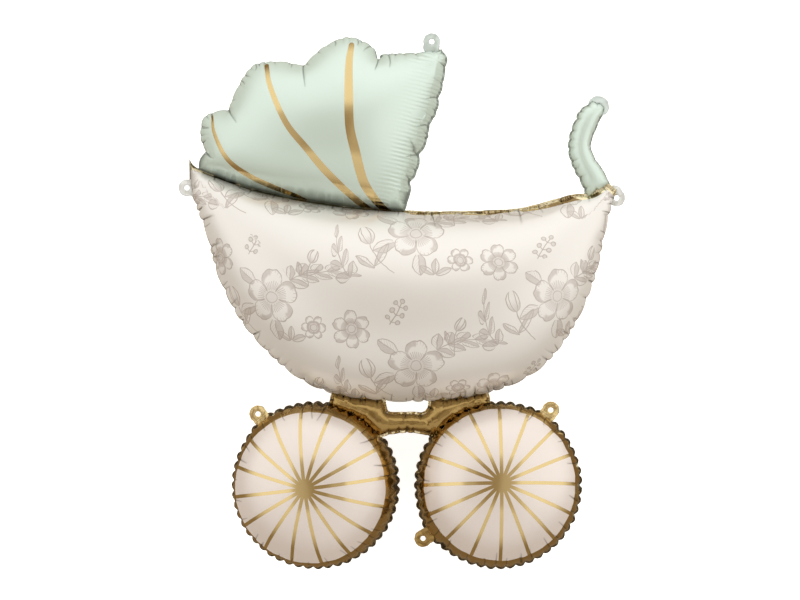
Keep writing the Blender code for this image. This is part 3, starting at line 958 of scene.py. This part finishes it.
def lattice(x, y, origin, turn=0.0):
    """Coordinates round the nearest copy of a motif. Every second column drops by half."""
    x, y = x - origin[0], y - origin[1]
    column = (x / REPEAT[0] + 0.5).floor()
    x = x - column * REPEAT[0]
    y = (y + column.mod(2.0) * (REPEAT[1] / 2) + REPEAT[1] / 2).mod(REPEAT[1]) - REPEAT[1] / 2
    return turned(x, y, turn)


def turned(x, y, turn, start=0.0):
    """Coordinates turned by an angle, and measured from a start further along +X."""
    cos, sin = math.cos(turn), math.sin(turn)
    return x * cos + y * sin - start, y * cos - x * sin


def line_at(gap, wide=LINE):
    return gap.abs().below(wide, 0.0005)


def blossom(x, y, size, petals, heart=0.20):
    """An open flower: lobed petals with a doubled outline, hatched veins and a dotted heart."""
    radius = hypot(x, y)
    angle = y.angle_from(x) * (petals / 2)
    swing = angle.cos().abs()
    notch = (angle * 2.0).cos().max(0.0).power(8.0) * swing
    edge = (swing.power(0.6) * 0.42 + 0.60 - notch * 0.05) * size
    depth = edge - radius
    within = depth.above(0.0)
    hatching = (angle * 2.0).sin().above(0.35, 0.25)
    brush = hatching * within * depth.below(size * 0.24, size * 0.08)
    between = (swing * radius * (2.0 / petals)).below(LINE)
    fan = (angle * 9.0).sin().abs() * radius * (1 / (4.5 * petals))
    inner_veins = fan.below(LINE * 0.6) * radius.above(size * heart * 1.5)
    dots = line_at((angle * 4.0).sin() * radius * 0.3, LINE * 1.2)
    return largest(
        line_at(radius - edge, LINE * 1.15),
        between * within * radius.above(size * heart * 1.3),
        inner_veins * radius.below(size * 0.58),
        fan.below(LINE * 0.55) * within * depth.below(size * 0.13) * 0.8,
        line_at(radius - size * heart),
        dots * line_at(radius - size * heart * 1.45, 0.0018),
        within * radius.below(size * 0.55, size * 0.35) * 0.34,
        radius.below(size * heart) * 0.35,
        brush * 0.62,
    )


def leaf(x, y, length, width):
    """A leaf from the origin along +X: midrib, side veins, and one half shaded."""
    share = x / length
    swell = share * (1.0 - share)
    arch = swell.max(0.0).power(0.9) * (3.4 * width)
    half = y.abs()
    outline = line_at(half - arch) * swell.above(0.004, 0.01)
    within = (arch - half).above(0.0004)
    rib = half.below(LINE * 0.8) * within
    vein = (x - half * 1.2).mod(length / 7) - length / 14
    veins = line_at(vein, LINE * 0.6) * within * 0.8
    return largest(outline, rib, veins, within * y.above(0.0, 0.002) * 0.52)


def leaves(x, y, turns, start, length, width):
    """Several leaves that fan out from one place."""
    return largest(*(leaf(*turned(x, y, turn, start), length, width) for turn in turns))


def spray(x, y, length, pairs, reach):
    """A bent stem with pairs of leaves that get smaller towards its tip, and a leaf at the tip."""
    x = x - (y * y) * (0.5 / length)
    inside_stem = y.above(0.0) * y.below(length)
    taper = y / length * -0.5 + 1.0
    across = x.abs() / taper
    local = y.mod(length / pairs)
    turned_in = across * 0.80 + local * 0.60, local * 0.80 - across * 0.60
    side = leaf(*turned_in, reach, reach * 0.24)
    tip = leaf(y - length, x, reach * 0.6, reach * 0.16)
    return largest(line_at(x) * inside_stem, side * inside_stem, tip)


def bud(x, y, size):
    """A closed bud on a bent stem: overlapping petals with hatching, and two narrow leaves."""
    up = y / size
    cup = (up * (1.05 - up)).max(0.0).power(0.5) * (size * 0.66)
    half = x.abs()
    along = up.above(0.0, 0.02) * up.below(1.05, 0.02)
    within = (cup - half).above(0.0) * along
    hatch = ((x + y * 0.25) * (1 / 0.0034)).fraction() - 0.5
    bend = x - up * up * (size * 0.22)
    return largest(
        line_at(half - cup, LINE * 1.1) * along,
        line_at(half - cup * 0.42 - (up - 0.1) * (size * 0.07)) * within,
        hatch.abs().below(0.14, 0.10) * within * up.below(0.60, 0.25) * 0.8,
        within * up.below(0.50, 0.4) * 0.50,
        line_at(bend, LINE * 1.1) * up.below(0.0, 0.02) * up.above(-1.7, 0.02),
        leaf(*turned(x + size * 0.10, y + size * 1.1, 0.75), size * 1.3, size * 0.19),
        leaf(*turned(x + size * 0.12, y + size * 1.2, 2.25), size * 1.1, size * 0.17),
    )


def berries(x, y, size):
    """A short twig with round berries on both sides and one on top."""
    along = y.above(0.0) * y.below(size)
    step = size / 3
    local = y.mod(step) - step / 2
    twigs = line_at(local - x.abs() * 0.5 + step * 0.15) * x.abs().below(step * 0.5) * along

    def berry(middle_x, middle_y):
        ring = hypot(middle_x, middle_y)
        return line_at(ring - step * 0.25).max(ring.below(step * 0.25) * 0.45)

    beside = berry(x.abs() - step * 0.66, local - step * 0.16) * along
    return largest(line_at(x) * along, twigs, beside, berry(x, y - size - step * 0.25))


def botanical_print(film):
    """All motifs on their lattices, in lines that wobble a little and print unevenly."""
    x, y = film.coordinates("Print")
    wobble = film.noise(x, y, 38.0, 2.0) - 0.5
    drift = film.noise(y + 3.1, x + 1.7, 38.0, 2.0) - 0.5
    x = x + wobble * 0.0080
    y = y + drift * 0.0080
    middle = lattice(x, y, (0.022, 0.058), 0.3)
    behind = leaves(*middle, (2.2, 3.3, 4.5), 0.036, 0.040, 0.011)
    drawn = largest(
        blossom(*middle, 0.045, 5),
        behind * hypot(*middle).above(0.040),
        spray(*lattice(x, y, (0.054, 0.086), -0.95), 0.080, 4, 0.032),
        bud(*lattice(x, y, (-0.052, 0.036), 0.30), 0.034),
        spray(*lattice(x, y, (-0.082, -0.020), 0.80), 0.064, 3, 0.030),
        blossom(*lattice(x, y, (0.092, 0.010)), 0.020, 6, heart=0.26),
        berries(*lattice(x, y, (-0.020, 0.128), -0.5), 0.040),
        blossom(*lattice(x, y, (-0.082, 0.120), 0.6), 0.031, 6),
        leaves(*lattice(x, y, (0.052, -0.016), 0.4), (0.0, 1.1, 2.2), 0.002, 0.026, 0.006),
        bud(*lattice(x, y, (0.088, 0.118), -0.45), 0.022),
    )
    uneven = film.noise(x, y, 120.0, 2.0) * 0.5 + 0.62
    return drawn * uneven.min(1.0)


# ---------------------------------------------------------------- the chambers


def basket_edge(stretch, step):
    return spline(np.array(stretch) * BASKET_SIZE, step)


def basket_top_at(x):
    edge = basket_edge(BASKET_TOP, 0.002)
    return np.interp(x, edge[:, 0], edge[:, 1])


def basket_bottom_at(x):
    edge = basket_edge(BASKET_BELOW, 0.002)
    return np.interp(-x, -edge[:, 0], edge[:, 1])


def basket_top_gap(points):
    """How far points lie below the basket's upper edge, measured square to it."""
    x, y = points.T
    edge = basket_edge(BASKET_TOP, 0.004)
    slope = np.gradient(edge[:, 1], edge[:, 0])
    top = np.interp(x, edge[:, 0], edge[:, 1])
    return (top - y) / np.sqrt(1 + np.interp(x, edge[:, 0], slope) ** 2)


def on_basket(weld, rim, elsewhere):
    """A size along the weld under the hood, along the open rim, and elsewhere on the basket."""

    def size(points):
        gap, right = basket_top_gap(points), points[:, 0] > HOOD_FOOT_X
        return np.where(
            (points[:, 0] < HOOD_FOOT_X) & (gap < 0.030),
            weld,
            np.where(right & (gap < 0.020), rim, elsewhere),
        )

    return size


def basket_seam_at(points):
    """The flange is wider along the open rim than elsewhere."""
    rim = np.clip((points[:, 0] - HOOD_FOOT_X) / 0.010, 0, 1) * (basket_top_gap(points) < 0.004)
    wavy = 0.0012 * np.sin(points[:, 0] * 61) + 0.0008 * np.sin(points[:, 0] * 143 + 1)
    return 0.0024 + rim * (0.0030 + wavy)


def rim_band(points):
    """Below 0 on the gold band along the basket's upper edge."""
    return basket_top_gap(points) - np.interp(points[:, 0], *RIM_BAND.T)


def add_basket(front, back):
    loop = closed([basket_edge(stretch, 0.0013) for stretch in (BASKET_TOP, BASKET_BELOW)])
    piece = chamber(
        "basket", loop, (front, back), BASKET_DEPTH, step=0.0038, seam=basket_seam_at, size=0.19,
        overhang=on_basket(-0.0030, -0.0012, 0.0016),
        # valley: painted shade along the weld under the hood
        valley=on_basket(1.0, 0.0, 0.0),
        notch=on_basket(0.0, 0.0010, 0.0042),
        crumple=on_basket(0.0, 0.0024, 0.0),
        droop=on_basket(0.55, -0.25, 0.55),
        creases=pinches(
            loop, seam=0.0026, pitch=0.034, seed=5, longest=0.017, drop=0.0011,
            kept=lambda place: basket_top_gap(place) > 0.020,
        ),
        flange_shade=0.6, floor=BASKET_REST, buckle=0.0008,
    )
    write_layer(piece, "band", rim_band)


def hood_foot():
    return np.array([HOOD_FOOT_X, basket_top_at(HOOD_FOOT_X) - LAP_WIDTH])


def on_weld(points):
    """1 along the hood's weld to the basket, fading away from it."""
    return np.clip(1 - (points[:, 1] - basket_top_at(points[:, 0])) / 0.030, 0, 1)


def on_front(points):
    """1 along the hood's free front edge, fading away from it."""
    x, y = ((points - hood_foot()) / HOOD_SIZE).T
    line = np.vstack(HOOD_FRONT)
    edge = np.interp(y, line[:, 1], line[:, 0])
    return np.clip(1 - (edge - x) / 0.20, 0, 1) * (y > 0.04)


def hood_overhang(points):
    """The film stands over its seam, but shrinks back along the weld and the front edge."""
    front = np.where(on_front(points) > 0.8, -0.0014, 0.0013)
    return np.where(on_weld(points) > 0, -0.0038, front)


def add_hood(front, back):
    foot = hood_foot()
    stretches = [foot + np.array(lobe) * HOOD_SIZE for lobe in HOOD_FRONT + HOOD_LOBES]
    weld_x = np.linspace(stretches[-1][-1][0], foot[0], 9)
    weld = np.column_stack([weld_x, basket_top_at(weld_x) - LAP_WIDTH])
    stretches[-1] = np.vstack([stretches[-1][:-1], weld[0]])
    creases = [(foot + np.array(line) * HOOD_SIZE, drop) for line, drop in HOOD_CREASES]
    for start, end in HOOD_TICKS:
        line = np.linspace(start, end, 3) + np.array([[0, 0], [0.004, 0.002], [0, 0]])
        creases.append((foot + line * HOOD_SIZE, 0.0014))
    loop = closed([spline(stretch, 0.0012) for stretch in (weld, *stretches)])
    piece = chamber(
        "hood", loop, (front, back), HOOD_DEPTH, step=0.0030, size=0.14,
        seam=lambda points: 0.0024 + 0.0026 * (on_front(points) > 0.8),
        # valley: painted shade along the weld to the basket
        valley=lambda points: 1.3 * (on_weld(points) > 0),
        calm=lambda points: 1 - 0.85 * (on_weld(points) > 0),
        overhang=hood_overhang, creases=creases,
        notch=0.0022, droop=1.0, flange_shade=1.2, buckle=0.0008,
    )
    write_layer(piece, "rib", rib_gap)
    write_layer(piece, "front", lambda points: on_front(points) ** 1.5 * 2)


def rib_gap(points):
    """Distance to the nearest gold rib's edge: below 0 on a rib."""
    nearest = np.full(len(points), 1.0)
    for rib in HOOD_RIBS:
        line = np.array(rib) * (*HOOD_SIZE, 0.0005)
        line[:, :2] += hood_foot()
        line = spline(line, 0.004)
        for start, end in zip(line, line[1:]):
            share, gap = to_segment(points, start[:2], end[:2])
            nearest = np.minimum(nearest, gap - (start[2] + (end[2] - start[2]) * share))
    return nearest


def add_handle(material):
    foot = np.array([HANDLE_FOOT_X, basket_top_at(HANDLE_FOOT_X)])
    line = np.array(HANDLE_LINE) * (HANDLE_HEIGHT, HANDLE_HEIGHT, HANDLE_WIDTH)
    line[:, :2] += foot
    line[:, 2] += 2 * HANDLE_SEAM
    line = spline(line, 0.0012)
    middle, wide = line[:, :2], line[:, 2:]
    side = left_side(middle)
    left = middle + side * wide / 2
    right = (middle - side * wide / 2)[HANDLE_FOOT_CUT:]
    end = [left[-1], left[-1] * 0.5 + right[-1] * 0.5 + (0.0012, 0.0018), right[-1]]
    loop = closed([left, spline(end, 0.0012), right[::-1], spline([right[0], left[0]], 0.0012)])

    def left_of(points):
        return points[:, 0] < np.interp(points[:, 1], line[:, 1], line[:, 0])

    def seam(points):
        """The flange is narrower on the lower half's right side."""
        wider = left_of(points) | (points[:, 1] > foot[1] + 0.070)
        return np.where(wider, 0.0042, 0.0030)

    chamber(
        "handle", loop, (material, material), HANDLE_DEPTH, step=0.0015, seam=seam, size=0.021,
        notch=lambda points: np.where(left_of(points), 0.0030, 0.0006),
        overhang=0.0003, droop=1.0, limit=0.011, flange_shade=1.3,
    )


def wheel_middle(side):
    return np.array([MIDDLE_X + side * WHEEL_SPREAD / 2, -WHEEL_DROP])


def add_wheel(name, side, front, back, lean, tilt, crease_seed):
    middle = wheel_middle(side)
    angle = np.linspace(0, 2 * np.pi, SCALLOPS * 14, endpoint=False)
    bulge = 0.0042 * (np.abs(np.sin(angle * SCALLOPS / 2)) ** 0.6 - 0.72)
    ring = WHEEL_RADIUS + WHEEL_SEAM + 0.0026 + bulge
    for tab in WHEEL_TABS[name]:
        away = (angle - math.radians(tab) + math.pi) % (2 * math.pi) - math.pi
        ring += 0.0040 * np.exp(-((away / math.radians(13)) ** 2))
    around = np.column_stack([np.cos(angle), np.sin(angle)])
    even = middle + around * (WHEEL_RADIUS + WHEEL_SEAM)

    def scallop_shade(points):
        """Painted shade: dark in each scallop, with lighter lines where two meet."""
        x, y = (points - middle).T
        return 0.9 + 1.7 * np.abs(np.sin(np.arctan2(y, x) * SCALLOPS / 2)) ** 0.5

    chamber(
        name, middle + around * ring[:, None], (front, back), WHEEL_DEPTH,
        step=0.0032, seam=WHEEL_SEAM, size=WHEEL_RADIUS, lean=lean, tilt=tilt, fine=0.014,
        creases=pinches(
            even, WHEEL_SEAM, pitch=0.030, seed=crease_seed, longest=0.022, drop=0.0009
        ),
        overhang=0.0026, droop=1.5, notch=0.0008, crumple=0.0011, buckle=0.0013,
        flange_shade=scallop_shade,
    )


def axle_half(reach, side):
    """Half of the axle's outline, from the bar's foot to the slot, for an arm of this reach."""
    wheel = wheel_middle(1) - (MIDDLE_X, 0)
    radius = WHEEL_RADIUS - LAP_WIDTH
    under = -SLOT_HEIGHT - BAR_WIDTH
    low = under - BAR_BOW
    start = math.atan2(low - wheel[1], -math.sqrt(radius**2 - (low - wheel[1]) ** 2))
    tip = math.acos((reach - wheel[0]) / radius)
    meets = wheel + radius * heading(start)
    below = [(0, under), (meets[0] * 0.5, under - BAR_BOW * 0.3), tuple(meets)]
    turn = np.linspace(start, tip, 6)
    beside = wheel + radius * np.column_stack([np.cos(turn), np.sin(turn)])
    half_slot = SLOT_WIDTH / 2
    lap_x = np.array([reach - 0.004, 0.75 * reach, 0.5 * reach, half_slot])
    above = np.column_stack([lap_x, basket_bottom_at(MIDDLE_X + side * lap_x) + BASKET_SEAM])
    end = np.array([beside[-1], (beside[-1] + above[0]) / 2 + (0.003, 0), above[0]])
    slot = [above[-1], (half_slot, -SLOT_HEIGHT * 0.3), (SLOT_WIDTH * 0.4, -SLOT_HEIGHT)]
    slot.append((0, -SLOT_HEIGHT))
    stretches = [below, beside, end, above, slot]
    half = np.vstack([*(spline(stretch, 0.0013)[:-1] for stretch in stretches), slot[-1]])
    return half * (side, 1)


def add_axle(material):
    right, left = axle_half(ARM_REACH, 1), axle_half(0.93 * ARM_REACH, -1)
    chamber(
        "axle", np.vstack([right, left[-2:0:-1]]) + (MIDDLE_X, 0), (material, material),
        AXLE_DEPTH, step=0.0016, seam=AXLE_SEAM, size=0.022,
        droop=0.1, limit=0.013, crumple=0.0011, buckle=0.0003, flange_shade=0.3,
    )


def add_tab(
    name, seat, angle, material, gap=TAB_GAP, fold=0.0, curl=0.0016, scale=1.0, neck=0.55
):
    """A round tab with a hole and a neck that runs under the seam."""
    middle = gap + TAB_HOLE
    turns, rows = 64, 7
    form = bmesh.new()
    plan = form.loops.layers.uv.new("Plan")
    seam = form.loops.layers.uv.new("Seam")
    grid = []
    for k in range(rows):
        share = k / (rows - 1)
        ring = []
        for i in range(turns):
            turn = 2 * math.pi * i / turns
            back = max(0.0, -math.cos(turn) - 0.35) / 0.65
            far = TAB_RADIUS * (1 + neck * back) + 0.0002 * math.sin(9 * turn)
            radius = TAB_HOLE + (far - TAB_HOLE) * share
            x, y = middle + radius * math.cos(turn), radius * math.sin(turn)
            z = curl * math.sin(x * 190 + 0.7) * share
            z += 0.7 * curl * math.sin(y * 360 + x * 150) * share
            ring.append(form.verts.new((x, y, z)))
        grid.append(ring)
    for k in range(rows - 1):
        for i in range(turns):
            j = (i + 1) % turns
            face = form.faces.new((grid[k][i], grid[k + 1][i], grid[k + 1][j], grid[k][j]))
            for corner in face.loops:
                corner[plan].uv = (corner.vert.co.x + seat[0], corner.vert.co.y + seat[1])
                corner[seam].uv = (corner.vert.co.x * 3, 0.004)
    mesh = bpy.data.meshes.new(name)
    form.to_mesh(mesh)
    form.free()
    mesh.shade_smooth()
    mesh.materials.append(material)
    piece = add_object(name, mesh)
    piece.scale = (scale, scale, 1)
    thick = piece.modifiers.new("film", "SOLIDIFY")
    thick.thickness = FILM
    thick.offset = 0
    piece.location = (seat[0] + FOOT[0], seat[1] + FOOT[1], SEAM_Z)
    piece.rotation_euler = (0, math.radians(fold), math.radians(angle))
    finish_piece(piece)


def add_tabs(clear, mint, gold, shaded_gold):
    back = np.array(BASKET_BELOW[-2]) * BASKET_SIZE + (1.2 * BASKET_SEAM, BASKET_SEAM)
    front = np.array(BASKET_BELOW[0]) * BASKET_SIZE - (BASKET_SEAM, 0.002)
    add_tab("basket_back_tab", back, 180, clear)
    add_tab("basket_front_tab", front, -60, clear)
    corner = hood_foot() + np.array(HOOD_LOBES[0][0]) * HOOD_SIZE
    add_tab("hood_tab", corner - (1.35 * TAB_RADIUS, HOOD_SEAM / 2), 86, mint)
    turn, scale = HANDLE_TAB_TURN, HANDLE_TAB_SCALE
    seat = HANDLE_TAB - scale * (TAB_GAP + TAB_HOLE) * heading(math.radians(turn))
    add_tab("handle_tab", seat, turn, mint, fold=8, curl=0.0022, scale=scale, neck=-0.40)
    for name, side in (("left_wheel", -1), ("right_wheel", 1)):
        for number, angle in enumerate(WHEEL_TABS[name]):
            way = heading(math.radians(angle))
            seat = wheel_middle(side) + (WHEEL_RADIUS + WHEEL_SEAM / 3) * way
            # The first tab is bright gold, the others the darker gold with painted shade
            film = gold if number == 0 else shaded_gold
            add_tab(f"{name}_tab_{number}", seat, angle, film, gap=WHEEL_TAB_GAP)


# ---------------------------------------------------------------- studio


def add_floor():
    bpy.ops.mesh.primitive_plane_add(size=14, location=(0, 0, 0))
    floor = bpy.context.object
    floor.name = "floor"
    film = Film("floor_paper", (0.93, 0.93, 0.925), 0.0, 0.9)
    film.set({"Emission Color": (1, 1, 1, 1), "Emission Strength": 0.75})
    floor.data.materials.append(film.material)
    floor.visible_glossy = False


def add_lights():
    for name, (place, size, power) in LIGHTS.items():
        lamp = bpy.data.lights.new(name, "AREA")
        lamp.shape = "RECTANGLE"
        lamp.size, lamp.size_y = size
        lamp.energy = power
        light = add_object(name, lamp)
        light.location = place
        way = Vector(LIT_PLACE) - Vector(place)
        light.rotation_euler = way.to_track_quat("-Z", "Y").to_euler()
        light.visible_glossy = False


def add_world():
    """A white tent: bright to the sides, a dark opening overhead, and a dark ground."""
    world = bpy.data.worlds.new("studio")
    bpy.context.scene.world = world
    world.use_nodes = True
    tree = world.node_tree
    x, y, z = parts_of(tree, add_node(tree, "ShaderNodeTexCoord").outputs["Generated"])
    above = (z + y * 0.28 + x * 0.12).above(0.37, 0.42)
    wide = x.abs().below(0.48, 0.06) * (y + 0.02).abs().below(0.44, 0.08)
    narrow = (x + 0.05).abs().below(0.21, 0.05) * (y + 0.02).abs().below(0.32, 0.06)
    nearside = y.below(-0.22, 0.35)
    level = above * (wide * -0.66 + narrow * -0.26 + 1.0) * (nearside * -0.42 + 1.0)
    colours = {"A": (0.27, 0.205, 0.130, 1), "B": (1.0, 0.985, 0.96, 1)}
    mix = add_node(tree, "ShaderNodeMix", {"Factor": level, **colours}, data_type="RGBA")
    set_inputs(tree.nodes["Background"], {"Color": mix.outputs["Result"], "Strength": TENT})


def add_camera():
    lens = bpy.data.cameras.new("camera")
    lens.sensor_width = SENSOR
    lens.lens = SENSOR * (CAMERA_HEIGHT - SEAM_Z) / (PIXELS_WIDE * PIXEL)
    camera = add_object("camera", lens)
    camera.location = (*VIEW_CENTRE, CAMERA_HEIGHT)
    bpy.context.scene.camera = camera


def main():
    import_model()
    mint = satin_film("mint_film", MINT, dark=PAINTED_SHADE_MINT)
    gold = gold_film("gold_film", GOLD, 0.35)
    add_basket(basket_film(), satin_film("cream_film", CREAM))
    add_hood(hood_film(), mint)
    add_handle(mint)
    left, right = wheel_middle(-1), wheel_middle(1)
    left_film = wheel_film("left_wheel_film", left, 0.1222, (-0.0016, -0.0011), math.radians(7.6))
    right_film = wheel_film("right_wheel_film", right, 0.1226, (0, 0), math.radians(0.3))
    add_wheel("left_wheel", -1, left_film, gold, (-0.014, 0.0025), (0.20, 0.0), 75)
    add_wheel("right_wheel", 1, right_film, gold, (0.001, 0.0124), (-0.10, -0.08), 76)
    axle = gold_film("axle_film", AXLE_GOLD_SHADED, 0.55)
    add_axle(axle)
    clear = satin_film("clear_film", CLEAR, wrinkles=2.0, crumpled_share=0.35)
    tab_mint = satin_film("tab_film", TAB_MINT, dark=PAINTED_SHADE_MINT, crumpled_share=0.15)
    add_tabs(clear, tab_mint, gold_film("tab_gold_film", GOLD, 0.8), axle)
    add_floor()
    add_lights()
    add_world()
    add_camera()
    bpy.context.scene.view_settings.view_transform = "Standard"


main()
